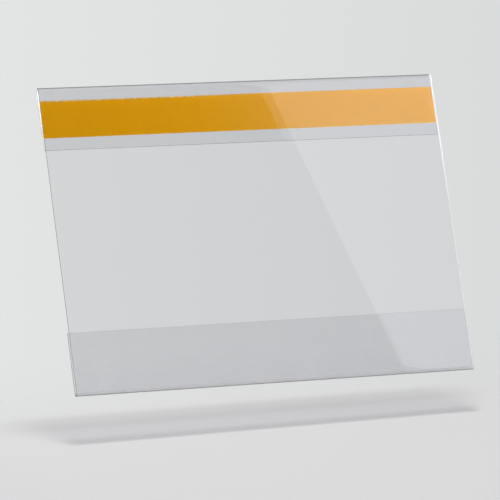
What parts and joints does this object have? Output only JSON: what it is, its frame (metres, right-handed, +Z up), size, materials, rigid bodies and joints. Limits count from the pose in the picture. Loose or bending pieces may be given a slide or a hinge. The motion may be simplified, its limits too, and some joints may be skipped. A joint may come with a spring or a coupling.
{
  "type": "self-adhesive pocket",
  "caption": "Clear landscape film pocket, open at its short sides, with a lip folded behind the window at top and bottom, and double-sided tape under an amber release liner on the upper lip.",
  "frame": {"origin": "middle of the adhesive face that goes against the wall, behind the upper lip", "axes": "+X across the pocket to the right as seen from the front, +Y out of the back into the wall, +Z up. The window looks towards -Y and leans back by 0.4 degrees, so that the back of its lower fold stands 0.8 mm behind the adhesive face until the pocket is pressed against a wall"},
  "size_m": [0.212, 0.004, 0.1545],
  "materials": {
    "clear_film": "clear gloss rigid film",
    "clear_adhesive": "clear tacky acrylic adhesive",
    "carrier_film": "thin clear film",
    "amber_liner": "satin release film"
  },
  "bodies": {
    "upper_lip": {"upper_lip_film": "clear_film", "film_side_adhesive": "clear_adhesive", "tape_carrier": "carrier_film", "wall_side_adhesive": "clear_adhesive"},
    "window": {"window_film": "clear_film"},
    "lower_lip": {"lower_lip_film": "clear_film"},
    "liner": {"release_liner": "amber_liner"}
  },
  "joints": [
    {"name": "upper_crease", "type": "hinge", "parent": "upper_lip", "child": "window", "pos_m": [0, -0.0002, 0.01425], "axis": [-1, 0, 0], "range_deg": [0, 20], "stiffness_Nm_per_rad": 0.3},
    {"name": "lower_crease", "type": "hinge", "parent": "window", "child": "lower_lip", "pos_m": [0, 0.00081, -0.13723], "axis": [-1, 0, 0], "range_deg": [0, 20], "stiffness_Nm_per_rad": 0.05},
    {"name": "liner_peel", "type": "slide", "parent": "upper_lip", "child": "liner", "axis": [0, 1, 0], "range_m": [0, 0.03]}
  ]
}
